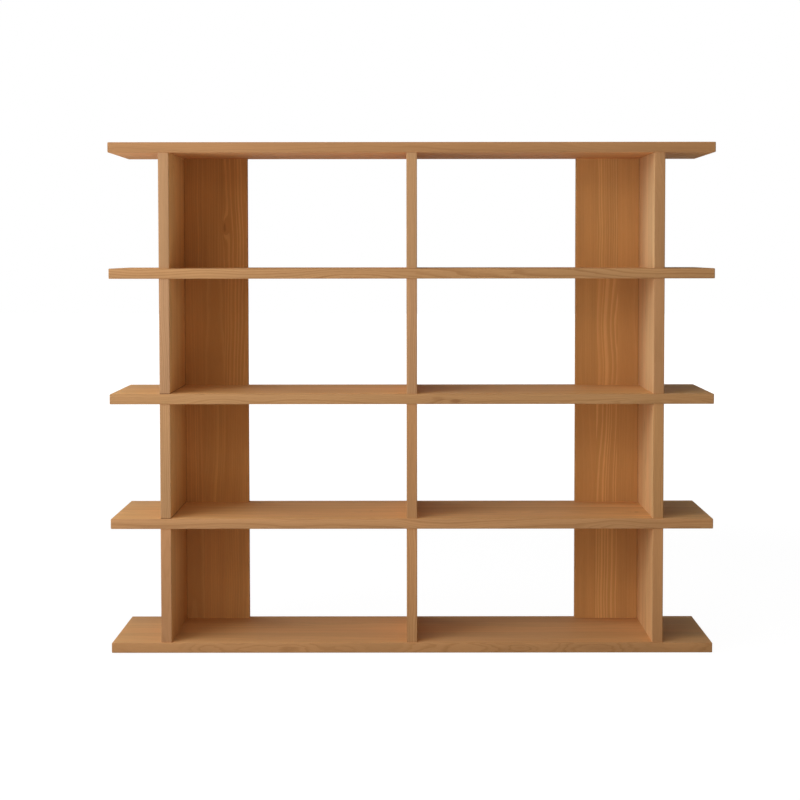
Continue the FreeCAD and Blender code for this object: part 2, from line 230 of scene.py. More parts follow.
class Effect:
    """A shader effect that the finishes share, whose node group is built when it is first asked for."""

    vectors: tuple[str, ...] = ("Place",)
    numbers: tuple[str, ...] = ()

    def __init__(self, w: Wiring) -> None:
        """Start on the group, whose wiring this is."""
        outputs = w.add("NodeGroupInput").outputs
        self.w = w
        self.given = {entry: Signal(w, outputs[entry]) for entry in (*self.vectors, *self.numbers)}

    def wire(self) -> Signals:
        """Wire the effect up, and give its outputs by name."""
        raise NotImplementedError

    @classmethod
    def group(cls) -> bpy.types.NodeTree:
        """Find the effect's node group, or build it.

        Returns:
            The group, whose outputs are numbers.
        """
        name = cls.__name__.lower()
        if name in bpy.data.node_groups:
            return bpy.data.node_groups[name]
        tree = bpy.data.node_groups.new(name, "ShaderNodeTree")
        for kind, entries in (("Vector", cls.vectors), ("Float", cls.numbers)):
            for entry in entries:
                tree.interface.new_socket(entry, in_out="INPUT", socket_type=f"NodeSocket{kind}")
        w = Wiring(tree)
        made = cls(w).wire()
        for output in made:
            tree.interface.new_socket(output, in_out="OUTPUT", socket_type="NodeSocketFloat")
        w.add("NodeGroupOutput", made)
        return tree

    @classmethod
    def on(cls, w: Wiring, inputs: Inputs) -> Signals:
        """Add the effect to a material. Its inputs and what it gives go by name."""
        node = w.add("ShaderNodeGroup", inputs, node_tree=cls.group())
        return {output.name: Signal(w, output) for output in node.outputs}


class Timber(Effect):
    """The figure of a board glued up from staves, each from a log of its own, measured in millimetres."""

    numbers = ("Seed", "Stave", "Ring", "Sweep", "Ripple", "Swell")

    def wire(self) -> Signals:
        """Wire the figure up.

        Returns:
            The dark latewood, a slow change over many rings, the stave's own tone and hue, and the fine fibres,
            each from 0 to 1.
        """
        w, given = self.w, self.given
        heart_near, heart_far, lean_slope = 38.0, 120.0, 0.05
        wander_length, ripple_length, ripple_width = 260.0, 55.0, 9.0
        band_length, fibre_length, fibre_width = 400.0, 30.0, 0.9
        along, across, through = w.split(given["Place"])
        stave = w.math("FLOOR", across / given["Stave"])
        log = stave * 7.31 + given["Seed"]
        turn, reach, lean = w.scatter(log)
        width_draw, tone, hue = w.scatter(log + 0.37)
        strength, _, _ = w.scatter(log + 0.71)

        # The log's heart lies outside the stave, leans a little and wanders along its length
        angle = turn * FULL_TURN
        heart = w.blend(reach, heart_near, heart_far)
        slope = (lean - 0.5) * (along * lean_slope)
        wander = w.noise(w.join(along / wander_length, log, 0.0), detail=1.0, output=1)
        wander_y, wander_z, _ = w.split(w.vector("SUBTRACT", wander, (0.5, 0.5, 0.5)))
        sway = given["Sweep"] * 2.0
        middle = (stave + 0.5) * given["Stave"]
        y = across - middle - heart * w.math("COSINE", angle) + wander_y * sway
        z = through + slope - heart * w.math("SINE", angle) + wander_z * sway
        ripple = w.noise(w.join(along / ripple_length, across / ripple_width, through / ripple_width))
        radius = w.vector("LENGTH", w.join(y, z, 0.0)) + (ripple - 0.5) * given["Ripple"]

        # Rings of uneven width, each a slow rise into dark latewood and a quick fall
        rings = radius / (given["Ring"] * w.blend(width_draw, 0.75, 1.35)) + given["Swell"]
        rings = rings + w.noise(w.join(rings * 0.45, log, 0.0), detail=1.0) * 2.4
        share = w.math("FRACT", rings)
        ring_draw, _, _ = w.scatter(w.math("FLOOR", rings) + log)
        strength = w.blend(strength, 0.45, 1.55) * w.blend(ring_draw, 0.35, 1.0)
        band = w.noise(w.join(rings * 0.30, log, along / band_length), detail=1.5)
        fine = w.join(along / fibre_length, across / fibre_width, through / fibre_width)
        return {
            "Latewood": w.step(share, 0.40, 0.88) * w.step(share, 1.0, 0.90) * strength,
            "Band": w.step(band, 0.25, 0.75),
            "Tone": tone,
            "Hue": hue,
            "Fibre": w.noise(w.vector("ADD", fine, w.join(log, log, log)), detail=3.0),
        }


class Branch(Effect):
    """A knot, added to those that came before it."""

    vectors = ("Place", "Centre", "Reach")
    numbers = ("Rings", "Dark", "Swell", "Heart")

    def wire(self) -> Signals:
        """Wire the knot up.

        Returns:
            How far the rings are pushed aside, and how much of the place is the knot's heart.
        """
        w, given = self.w, self.given
        fall_off, rim, core = -0.22, 1.15, 0.35
        away = w.vector("MULTIPLY", w.vector("SUBTRACT", given["Place"], given["Centre"]), given["Reach"])
        wobble = w.noise(w.scale(away, 1.3))
        distance = w.vector("LENGTH", away) + (wobble - 0.5) * 0.5
        push = w.math("EXPONENT", distance * distance * fall_off) * given["Rings"]
        heart = w.step(distance, rim, core) * given["Dark"]
        return {"Swell": given["Swell"] + push, "Heart": w.math("MAXIMUM", given["Heart"], heart)}


class Arris(Effect):
    """The rubbed edges of a board, whose middle and half sizes it takes in the scene's metres."""

    vectors = ("Place", "Middle", "Half")
    numbers = ("Reach",)

    def wire(self) -> Signals:
        """Wire the edges up.

        Returns:
            1 on the edges, falling to 0 at their reach, and 1 on the narrow front and rear faces.
        """
        w, given = self.w, self.given
        # The front mask reaches onto the chamfers, so that the painted shade of the narrow faces covers them too
        patches, front_start, front_end = 45.0, 2.0 * MM, 1.4 * MM
        from_middle = w.vector("ABSOLUTE", w.vector("SUBTRACT", given["Place"], given["Middle"]))
        x, y, z = w.split(w.vector("SUBTRACT", given["Half"], from_middle))
        second = w.math("MAXIMUM", w.math("MINIMUM", x, y), w.math("MINIMUM", w.math("MAXIMUM", x, y), z))
        patchy = w.noise(w.scale(given["Place"], patches), detail=3.0)
        reach = given["Reach"] * w.blend(patchy, 0.5, 1.5)
        return {"Edge": w.step(second, reach, 0.0), "Front": w.step(y, front_start, front_end)}


class Scuffs(Effect):
    """Fine scratches and a soft clouding, which the metals share."""

    numbers = ("Grit",)

    def wire(self) -> Signals:
        """Wire the scuffs up.

        Returns:
            The scratches and the clouding, each from 0 to 1.
        """
        w, given = self.w, self.given
        clouds, scratches = 0.3, 4.0
        millimetres = w.scale(given["Place"], 1 / MM)
        x, y, z = w.split(millimetres)
        stretched = w.join(x * scratches, y * scratches, z * given["Grit"])
        return {
            "Scratch": w.step(w.noise(stretched, detail=4.0), 0.45, 0.75),
            "Cloud": w.noise(w.scale(millimetres, clouds), detail=3.0),
        }


class Grain(Enum):
    """Which way a board's grain runs: the scene's axes along, across and through the board."""

    ALONG_SHELF = ("X", "Y", "Z")
    UP_SIDE_BOARD = ("Z", "Y", "X")
    UP_BACK_PANEL = ("Z", "X", "Y")


@dataclass(frozen=True)
class Knot:
    """A branch that the saw went through, in millimetres from the board's lowest corner.

    Attributes:
        place: Its middle, along, across and through the board.
        size: Its length along, across and through the board. A length of 0 runs right through.
        swell: How many growth rings it pushes aside.
        dark: How dark its heart is, from 0 to 1.
    """

    place: Triple
    size: Triple
    swell: float = 2.0
    dark: float = 0.0


@dataclass(frozen=True)
class Cut:
    """How one board was sawn and glued up. Its sizes are in millimetres.

    Attributes:
        grain: Which way the grain runs.
        seed: Picks the logs that the staves come from.
        stave: The width of a stave.
        ring: The width of a growth ring.
        sweep: How far the log's heart wanders.
        ripple: How far the rings waver.
        figure: How strongly the rings show, as dark lines, or as pale ones below 0.
        ground: How much dark wood lies between the lines.
        warmth: How red it is, from 0 to 1.
        tint: What its colour is multiplied by: partly its own tone, partly painted light and shade for the light it
            gets.
        front: What that of its narrow faces is also multiplied by, which adds to their painted shade.
        calm: How much of the figure its wide faces show.
        staves: How much of it each stave shows.
        joint: A painted shadow along an open joint or crease: its axis, its place and how dark it is.
        knots: The branches in it.
    """

    grain: Grain
    seed: float
    stave: float = 50.0
    ring: float = 4.2
    sweep: float = 16.0
    ripple: float = 3.0
    figure: float = 1.6
    ground: float = 0.0
    warmth: float = 0.5
    tint: Triple = (1.0, 1.0, 1.0)
    front: Triple = (1.0, 1.0, 1.0)
    calm: float = 1.0
    staves: tuple[float, ...] = ()
    joint: tuple[str, float, float] | None = None
    knots: tuple[Knot, ...] = ()


@dataclass(frozen=True)
class OiledSoftwood:
    """The boards' finish: a warm softwood, oiled and left matt."""

    early: Colour = (0.745, 0.430, 0.178, 1.0)
    late: Colour = (0.464, 0.216, 0.071, 1.0)
    red: Colour = (0.734, 0.391, 0.162, 1.0)
    heart: Colour = colour(118, 70, 38)
    shadow: Colour = colour(70, 42, 22)
    # What the narrow front and rear faces, and the chamfers beside them, are multiplied by: painted shade that
    # darkens them below what the lamps give them
    edge_tint: Triple = (0.664, 0.639, 0.656)
    contrast: float = 0.42
    rubbed: float = 4 * MM
    roughness: float = 0.68
    shine: float = 0.08

    @staticmethod
    def branches(w: Wiring, cut: Cut, in_board: Signal) -> tuple[Value, Value]:
        """Add the board's knots.

        Args:
            w: The material's wiring.
            cut: How the board was sawn.
            in_board: The place along, across and through the board.

        Returns:
            How far the rings are pushed aside, and how much of the place is a knot's heart.
        """
        swell: Value = 0.0
        heart: Value = 0.0
        for knot in cut.knots:
            reach = tuple(2 / length if length else 0.0 for length in knot.size)
            inputs = {"Place": in_board, "Centre": knot.place, "Reach": reach, "Rings": knot.swell}
            pushed = Branch.on(w, inputs | {"Dark": knot.dark, "Swell": swell, "Heart": heart})
            swell, heart = pushed["Swell"], pushed["Heart"]
        return swell, heart

    def material(self, name: str, cut: Cut, low: Vector, high: Vector) -> bpy.types.Material:
        """Make one board's material.

        Args:
            name: The board's name.
            cut: How the board was sawn.
            low: The board's lowest corner.
            high: The board's highest corner.

        Returns:
            The material.
        """
        made, w = new_material(f"{name}_oiled_softwood")
        place = w.place()
        parts = dict(zip("XYZ", w.split(w.scale(w.vector("SUBTRACT", place, tuple(low)), 1 / MM))))
        along, across, through = (parts[axis] for axis in cut.grain.value)
        in_board = w.join(along, across, through)
        swell, heart = self.branches(w, cut, in_board)
        inputs = {"Place": in_board, "Seed": cut.seed, "Stave": cut.stave, "Ring": cut.ring, "Sweep": cut.sweep}
        figure = Timber.on(w, inputs | {"Ripple": cut.ripple, "Swell": swell})
        inputs = {"Place": place, "Middle": tuple((low + high) / 2), "Half": tuple((high - low) / 2)}
        edge = Arris.on(w, inputs | {"Reach": self.rubbed})

        share = w.blend(edge["Front"], cut.calm, 1.0)
        if cut.staves:
            number = w.math("FLOOR", across / cut.stave)
            strength: Value = 0.0
            for stave, own in enumerate(cut.staves):
                strength = w.math("LESS_THAN", abs(number - stave), 0.5) * own + strength
            share = share * strength
        dark = figure["Latewood"] * (self.contrast * cut.figure) * share
        latewood = w.math("ADD", dark, cut.ground, clamp=True)
        base = w.tint(latewood, w.tint(figure["Hue"] * cut.warmth, self.early, self.red), self.late)
        band = 0.045 * abs(cut.figure)
        level = w.blend(figure["Band"], 1 + band, 1 - band) * w.blend(figure["Tone"], 0.955, 1.045)
        level = level * w.blend(figure["Fibre"], 0.90, 1.10) * w.blend(edge["Edge"], 1.0, 1.05)
        base = w.tint(1.0, base, w.join(level, level, level), "MULTIPLY")
        # Each board's tint: partly its own tone, partly painted light and shade for the light it gets under these
        # lamps
        base = w.tint(1.0, base, (*cut.tint, 1.0), "MULTIPLY")
        # Painted shade on the narrow faces, each board's share of it set by its front tint
        if cut.grain is not Grain.UP_BACK_PANEL:
            edge_tint = (*(shared * own for shared, own in zip(self.edge_tint, cut.front)), 1.0)
            base = w.tint(edge["Front"], base, edge_tint, "MULTIPLY")
        base = w.tint(heart, base, self.heart)
        # Painted shadow: a dark line along an open joint or crease, where shade falls
        if cut.joint:
            axis, joint_place, depth = cut.joint
            base = w.tint(w.step(abs(parts[axis] - joint_place), 3.0, 1.0) * depth, base, self.shadow)

        roughness = w.blend(figure["Latewood"], 0.04, -0.04) + self.roughness + w.blend(edge["Edge"], 0.0, -0.08)
        relief = w.bump(figure["Latewood"] * 0.6 + figure["Fibre"] * 0.7, 0.35, 0.06 * MM)
        inputs = {"Base Color": base, "Roughness": roughness, "Normal": relief}
        w.surface(inputs | {"Specular IOR Level": self.shine})
        return made


@dataclass(frozen=True)
class BareWood:
    """The finish of the loose tenons: planed hardwood with nothing on it."""

    light: Colour = colour(209, 178, 138)
    dark: Colour = colour(168, 130, 88)

    def material(self) -> bpy.types.Material:
        """Make the material.

        Returns:
            The material, whose grain runs up the tenons.
        """
        made, w = new_material("bare_tenon_wood")
        place = w.place()
        streaks = w.noise(w.vector("MULTIPLY", place, (520.0, 520.0, 26.0)), detail=3.0)
        pores = w.noise(w.vector("MULTIPLY", place, (2600.0, 2600.0, 150.0)))
        dark = w.step(streaks, 0.35, 0.7) * 0.6
        dark = w.math("ADD", dark, w.step(pores, 0.58, 0.7) * 0.4, clamp=True)
        inputs = {"Base Color": w.tint(dark, self.light, self.dark), "Roughness": w.blend(dark, 0.62, 0.74)}
        w.surface(inputs | {"Normal": w.bump(pores, 0.3, 0.05 * MM)})
        return made


@dataclass(frozen=True)
class Metal:
    """A plain metal finish with fine scratches, which run along the piece."""

    name: str
    bright: Colour
    dull: Colour
    roughness: float
    grit: float = 0.6

    def material(self) -> bpy.types.Material:
        """Make the material.

        Returns:
            The material.
        """
        made, w = new_material(self.name)
        scuffs = Scuffs.on(w, {"Place": w.place(), "Grit": self.grit})
        roughness = w.blend(scuffs["Cloud"], -0.08, 0.12) + self.roughness
        inputs = {"Base Color": w.tint(scuffs["Cloud"], self.bright, self.dull), "Metallic": 1.0}
        w.surface(inputs | {"Roughness": roughness, "Normal": w.bump(scuffs["Scratch"], 0.2, 0.02 * MM)})
        return made


@dataclass(frozen=True)
class Felt:
    """The glides' finish: pressed felt."""

    light: Colour = colour(122, 108, 94)
    dark: Colour = colour(84, 72, 61)

    def material(self) -> bpy.types.Material:
        """Make the material.

        Returns:
            The material.
        """
        made, w = new_material("pressed_felt")
        place = w.place()
        clumps = w.noise(w.scale(place, 700.0), detail=4.0, roughness=0.65)
        fibres = w.noise(w.vector("MULTIPLY", place, (3500.0, 1500.0, 2500.0)), detail=3.0, roughness=0.6)
        both = clumps * 0.6 + fibres * 0.4
        inputs = {"Base Color": w.tint(w.step(both, 0.3, 0.7), self.dark, self.light), "Roughness": 0.95}
        inputs |= {"Sheen Weight": 0.25, "Sheen Roughness": 0.6, "Normal": w.bump(both, 0.6, 0.25 * MM)}
        w.surface(inputs)
        return made


@dataclass
class Board:
    """One board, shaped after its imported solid, with its sharp and chamfered edges rubbed round."""

    node: str
    cut: Cut
    # How far the edges of an upright's head and foot are eased
    end_ease: float = 0.0
    rub: float = 0.6 * MM
    steps: int = 2

    def rubbed_edges(self, shape: bmesh.types.BMesh) -> dict[bmesh.types.BMEdge, float]:
        """Find the edges that sanding rounds.

        Args:
            shape: The board, with its flat faces whole.

        Returns:
            How far each edge is rounded.
        """
        low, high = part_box(self.node)
        chamfer = (math.radians(25), math.radians(65))
        close = 2 * MM
        found = {}
        for edge in shape.edges:
            if len(edge.link_faces) != 2:
                continue
            middle = (edge.verts[0].co + edge.verts[1].co) / 2
            on_outline = min(min(middle[i] - low[i], high[i] - middle[i]) for i in (0, 1)) < close
            at_end = all(min(v.co.z - low.z, high.z - v.co.z) < MM / 10 for v in edge.verts)
            if self.end_ease and at_end:
                if on_outline:
                    found[edge] = self.end_ease
            elif chamfer[0] < edge.calc_face_angle(0.0) < chamfer[1] and edge.is_convex:
                found[edge] = self.rub
        return found

    def shape(self) -> bpy.types.Mesh:
        """Make the board's mesh.

        Returns:
            The mesh, whose rounded edges are marked for the modifier that makes them.
        """
        shape = bmesh.new()
        shape.from_mesh(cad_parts[self.node].data)
        bmesh.ops.remove_doubles(shape, verts=shape.verts, dist=MM / 100)
        bmesh.ops.dissolve_limit(
            shape, angle_limit=math.radians(1), use_dissolve_boundaries=False, verts=shape.verts, edges=shape.edges
        )
        weight = shape.edges.layers.float.new("bevel_weight_edge")
        rubbed = self.rubbed_edges(shape)
        for edge in shape.edges:
            edge[weight] = rubbed.get(edge, 0.0) / max(self.rub, self.end_ease)
            edge.smooth = edge in rubbed or edge.calc_face_angle(0.0) < math.radians(20)
        for face in shape.faces:
            face.smooth = True
        mesh = bpy.data.meshes.new(f"{self.node}_board")
        shape.to_mesh(mesh)
        shape.free()
        return mesh

    def build(self, finish: OiledSoftwood) -> None:
        """Make the board and dress it.

        Args:
            finish: The boards' finish.
        """
        piece = add_object(f"{self.node}_board", self.shape())
        piece.data.materials.clear()
        piece.data.materials.append(finish.material(self.node, self.cut, *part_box(self.node)))
        rounding = piece.modifiers.new("rubbed_edges", "BEVEL")
        rounding.limit_method = "WEIGHT"
        rounding.width = max(self.rub, self.end_ease)
        rounding.segments = self.steps
        rounding.harden_normals = True
        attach(piece, BODY)
        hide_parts(self.node)
        LOG.info("%s: %d flat faces before rounding", piece.name, len(piece.data.polygons))


@dataclass
class Shelves:
    """The five shelves."""

    cuts: dict[str, Cut]

    def build(self, finish: OiledSoftwood) -> None:
        """Make the shelves, all in one finish."""
        for shelf, cut in self.cuts.items():
            Board(shelf, cut).build(finish)


@dataclass
class Storey:
    """The five boards that stand between two shelves."""

    name: str
    left_side: Cut
    right_side: Cut
    divider: Cut
    left_back_panel: Cut
    right_back_panel: Cut
    ease: float = 0.3 * MM
    # The left side board stands a little open on the shelf in two storeys
    open_foot: float = 0.3 * MM

    def build(self, finish: OiledSoftwood) -> None:
        """Make the storey's boards, all in one finish."""
        for board in ("left_side", "right_side", "divider", "left_back_panel", "right_back_panel"):
            ease = self.open_foot if board == "left_side" else self.ease
            Board(f"{self.name}_{board}", getattr(self, board), ease).build(finish)


def shelf_cut(seed: float, **changes: object) -> Cut:
    """A shelf, glued up from staves that run its whole length."""
    return replace(Cut(Grain.ALONG_SHELF, seed, figure=1.3, calm=0.5), **changes)


def side_cut(seed: float, **changes: object) -> Cut:
    """A side board or divider, glued up from eight staves that stand upright."""
    return replace(Cut(Grain.UP_SIDE_BOARD, seed, stave=49.0, figure=1.1), **changes)


def panel_cut(seed: float, **changes: object) -> Cut:
    """A back panel of three upright staves, whose lines are pale on a darker ground."""
    return replace(Cut(Grain.UP_BACK_PANEL, seed, stave=59.4, figure=-1.2, ground=0.45), **changes)


def left_panel_cut(seed: float, **changes: object) -> Cut:
    """A left back panel: three finely lined staves, and a painted shadow line in the crease where it meets the side
    board.
    """
    usual = panel_cut(seed, ring=5.0, sweep=5.0, ripple=2.0, staves=(0.8, 0.8, 1.1, 0.5), joint=("X", 8.0, 0.3))
    return replace(usual, **changes)


def right_panel_cut(seed: float, **changes: object) -> Cut:
    """A right back panel: one lined stave between two plain ones, and a painted shadow line in the crease at the side
    board.
    """
    usual = panel_cut(seed, ring=7.0, sweep=6.0, ripple=1.5, staves=(0.3, 1.3, 0.3), joint=("X", 178.0, 0.3))
    return replace(usual, **changes)


LONG_ARCHES = (Knot((663, 0, 8), (240, 60, 20), 3.0), Knot((952, 0, 30), (300, 60, 16), 3.0))
# Each board's tint and front hold painted light and shade as well as its own tone
SHELF_CUTS = {
    "top_shelf": shelf_cut(
        52.0, figure=1.0, calm=0.6, tint=(0.941, 0.863, 0.85), front=(0.92, 0.952, 0.915),
        knots=LONG_ARCHES,
    ),
    "upper_shelf": shelf_cut(
        194.0, sweep=11.0, ripple=2.0, tint=(0.926, 0.926, 0.926), front=(1.006, 0.998, 0.961),
        knots=LONG_ARCHES,
    ),
    "middle_shelf": shelf_cut(
        59.0, tint=(0.996, 1.013, 0.993), front=(0.917, 0.89, 0.86),
        knots=(
            *(Knot((place, 0, 13), (110, 50, 20), 2.5) for place in (276, 510)),
            Knot((870, 0, 14), (40, 30, 16), 2.0, 0.25),
            Knot((916, 0, 8), (36, 30, 12), 2.0, 0.5),
            Knot((1142, 0, 4), (90, 50, 16), 2.5),
            Knot((1340, 0, 13), (180, 50, 14), 3.5),
            Knot((1535, 0, 13), (110, 50, 16), 3.0),
        ),
    ),
    "lower_shelf": shelf_cut(
        45.0, figure=1.7, calm=0.35, tint=(0.989, 0.998, 0.96), front=(0.973, 0.938, 0.944),
        knots=(
            Knot((870, 0, 6), (200, 50, 30), 3.0),
            Knot((1412, 139, 26), (16, 10, 20), 1.5, 0.7),
            Knot((689, 172, 26), (10, 8, 20), 1.2, 0.6),
        ),
    ),
    "base_shelf": shelf_cut(
        136.0, sweep=22.0, ripple=4.5, tint=(0.913, 0.894, 0.869), front=(1.035, 1.004, 0.945),
        knots=(
            *(Knot((place, 0, 13), (50, 40, 14), 2.0) for place in (245, 375, 490, 620)),
            Knot((975, 0, 13), (60, 40, 14), 2.5),
            Knot((1096, 0, 13), (40, 40, 12), 2.5),
            Knot((1300, 0, 13), (110, 50, 20), 3.0, 0.15),
        ),
    ),
}

# Each board's tint and front hold painted light and shade as well as its own tone
STOREYS = (
    Storey(
        "top_storey",
        left_side=side_cut(101.1, tint=(1.046, 1.128, 1.131), front=(0.809, 0.75, 0.811)),
        right_side=side_cut(
            102.2, warmth=1.0, tint=(1.034, 1.192, 1.338), front=(0.817, 0.694, 0.605),
            knots=(Knot((140, 0, 20), (130, 40, 12), 2.5),),
        ),
        divider=side_cut(103.3, front=(0.98, 1.024, 1.082)),
        left_back_panel=left_panel_cut(
            29.0, tint=(0.909, 0.823, 0.657), knots=(Knot((112, 122, 0), (30, 9, 0), 1.5, 0.4),),
        ),
        right_back_panel=right_panel_cut(48.0, tint=(0.994, 0.989, 0.863)),
    ),
    Storey(
        "upper_storey",
        # Painted shadow under the left side board's foot, where it stands a little open on the shelf
        left_side=side_cut(201.1, joint=("Z", 0.0, 0.6), tint=(1.005, 1.067, 1.062), front=(0.902, 0.848, 0.96)),
        right_side=side_cut(202.2, warmth=1.0, tint=(1.011, 1.122, 1.24), front=(0.902, 0.79, 0.704)),
        divider=side_cut(203.3, front=(0.98, 0.984, 1.056)),
        left_back_panel=left_panel_cut(49.0, tint=(0.944, 0.87, 0.712)),
        right_back_panel=right_panel_cut(18.0, tint=(0.968, 0.93, 0.788)),
        open_foot=1.0 * MM,
    ),
    Storey(
        "lower_storey",
        # Painted shadow under the left side board's foot, where it stands a little open on the shelf
        left_side=side_cut(301.1, joint=("Z", 0.0, 0.6), tint=(0.992, 1.038, 1.002), front=(0.894, 0.869, 0.92)),
        right_side=side_cut(
            302.2, warmth=1.0, tint=(1.047, 1.14, 1.194), front=(0.94, 0.827, 0.718),
            knots=(Knot((287, 50, 0), (9, 8, 0), 1.0, 0.6),),
        ),
        divider=side_cut(303.3, front=(0.893, 0.836, 0.796)),
        left_back_panel=left_panel_cut(69.0, tint=(1.007, 0.937, 0.776)),
        right_back_panel=right_panel_cut(58.0, tint=(1.001, 0.954, 0.793)),
        open_foot=1.0 * MM,
    ),
    Storey(
        "bottom_storey",
        left_side=side_cut(401.1, tint=(0.899, 0.892, 0.848), front=(1.018, 0.944, 0.987)),
        right_side=side_cut(402.2, warmth=1.0, tint=(1.05, 1.127, 1.147), front=(0.935, 0.838, 0.762)),
        divider=side_cut(403.3, front=(0.973, 0.931, 0.881)),
        left_back_panel=left_panel_cut(89.0, tint=(1.095, 1.051, 0.925)),
        right_back_panel=right_panel_cut(88.0, tint=(1.004, 0.967, 0.814)),
    ),
)


def set_out_tree() -> bpy.types.NodeTree:
    """Find or build the tree that cuts a thread on a fitting and sets out its copies on a grid.

    Returns:
        The tree. Its mesh may have an attribute called thread, which says where the thread is cut.
    """
    name = "thread_and_set_out"
    if name in bpy.data.node_groups:
        return bpy.data.node_groups[name]
    tree = bpy.data.node_groups.new(name, "GeometryNodeTree")
    entries = {"Fitting": "Geometry", "Pitch": "Float", "Thread Depth": "Float", "Fuzz": "Float"}
    entries |= {"Columns": "Int", "Rows": "Int", "Width": "Float", "Depth": "Float", "Material": "Material"}
    for entry, kind in entries.items():
        tree.interface.new_socket(entry, in_out="INPUT", socket_type=f"NodeSocket{kind}")
    tree.interface.new_socket("Fittings", in_out="OUTPUT", socket_type="NodeSocketGeometry")
    w = Wiring(tree)
    outputs = w.add("NodeGroupInput").outputs
    given = {entry: Signal(w, outputs[entry]) for entry in entries}

    # The thread climbs one pitch a turn and is only ever cut into the blank
    place = w.get("GeometryNodeInputPosition")
    x, y, z = w.split(place)
    climb = z / given["Pitch"] - w.math("ARCTAN2", y, x) / FULL_TURN
    groove = w.math("PINGPONG", climb, 0.5) * 2.0
    threaded = w.get("GeometryNodeInputNamedAttribute", {"Name": "thread"}, data_type="FLOAT")
    loose = w.noise(w.scale(place, 900.0)) * given["Fuzz"]
    inward = (groove * given["Thread Depth"] * threaded + loose) * -1.0
    offset = w.vector("MULTIPLY", w.vector("NORMALIZE", w.join(x, y, 0.0)), w.join(inward, inward, 0.0))
    shaped = w.get("GeometryNodeSetPosition", {"Geometry": given["Fitting"], "Offset": offset})

    inputs = {"Size X": given["Width"], "Size Y": given["Depth"]}
    inputs |= {"Vertices X": given["Columns"], "Vertices Y": given["Rows"]}
    grid = w.get("GeometryNodeMeshGrid", inputs, "Mesh")
    copies = w.get("GeometryNodeInstanceOnPoints", {"Points": grid, "Instance": shaped})
    whole = w.get("GeometryNodeRealizeInstances", {"Geometry": copies})
    dressed = w.get("GeometryNodeSetMaterial", {"Geometry": whole, "Material": given["Material"]})
    w.add("NodeGroupOutput", {"Fittings": dressed})
    return tree


def set_out(name: str, blank: bpy.types.Mesh, values: dict[str, object]) -> bpy.types.Object:
    """Run that tree on a blank, and keep the plain mesh that comes out.

    Args:
        name: The piece's name.
        blank: The mesh of one fitting, round the axis of the rods.
        values: The tree's inputs by name.

    Returns:
        The piece.
    """
    piece = add_object(name, blank)
    modifier = piece.modifiers.new("set_out", "NODES")
    modifier.node_group = set_out_tree()
    for entry in modifier.node_group.interface.items_tree:
        if entry.in_out == "INPUT" and entry.name in values:
            modifier[entry.identifier] = values[entry.name]
    graph = bpy.context.evaluated_depsgraph_get()
    evaluated = piece.evaluated_get(graph)
    mesh = bpy.data.meshes.new_from_object(evaluated, preserve_all_data_layers=True, depsgraph=graph)
    piece.modifiers.clear()
    piece.data = mesh
    shape = bmesh.new()
    shape.from_mesh(mesh)
    bmesh.ops.recalc_face_normals(shape, faces=shape.faces)
    for face in shape.faces:
        face.smooth = True
    for edge in shape.edges:
        edge.smooth = edge.calc_face_angle(0.0) < math.radians(28)
    shape.to_mesh(mesh)
    shape.free()
    return piece


@dataclass(frozen=True)
class Turned:
    """A blank that is turned on a lathe, or shaped round the same axis.

    Attributes:
        profile: Points of its outline, each a radius, a height and, on a thread, how much of it is cut there.
        ring: Whether the outline closes on itself, off the axis.
        steps: How many facets it has round the axis.
        corners: How many corners it has, if it isn't round.
        flats: The radius inside its flats.
        turned_off: The slope of its corners' ends, in degrees.
    """

    profile: list[tuple[float, ...]]
    ring: bool = False
    steps: int = 48
    corners: int = 0
    flats: float = 0.0
    turned_off: float = 30.0

    def mesh(self, name: str) -> bpy.types.Mesh:
        """Make the blank's mesh.

        Args:
            name: The mesh's name.

        Returns:
            The mesh, with its thread attribute.
        """
        shape = bmesh.new()
        thread = shape.verts.layers.float.new("thread")
        bevel = math.tan(math.radians(self.turned_off))
        middle = sum(point[1] for point in self.profile) / len(self.profile)
        loops = []
        for radius, height, *share in self.profile:
            loop = []
            sector = FULL_TURN / self.corners if self.corners and radius >= self.flats else 0.0
            for step in range(self.steps if radius else 1):
                angle = FULL_TURN * step / self.steps
                out = self.flats / math.cos(angle % sector - sector / 2) if sector else radius
                drop = (out - radius) * bevel * (1 if height > middle else -1)
                vertex = shape.verts.new((out * math.cos(angle), out * math.sin(angle), height - drop))
                vertex[thread] = sum(share)
                loop.append(vertex)
            loops.append(loop)
        pairs = list(zip(loops, loops[1:]))
        if self.ring:
            pairs.append((loops[-1], loops[0]))
        for below, above in pairs:
            for step in range(self.steps):
                after = (step + 1) % self.steps
                places = ((below, step), (below, after), (above, after), (above, step))
                shape.faces.new(list(dict.fromkeys(loop[index % len(loop)] for loop, index in places)))
        mesh = bpy.data.meshes.new(name)
        shape.to_mesh(mesh)
        shape.free()
        return mesh


def ends(node: str) -> tuple[float, float]:
    """The heights of a fitting's foot and head."""
    low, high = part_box(node)
    return low.z, high.z


def levels(start: float, end: float, step: float) -> list[float]:
    """Even levels from start to end, about a step apart."""
    count = max(1, round(abs(end - start) / step))
    return [start + (end - start) * index / count for index in range(count + 1)]


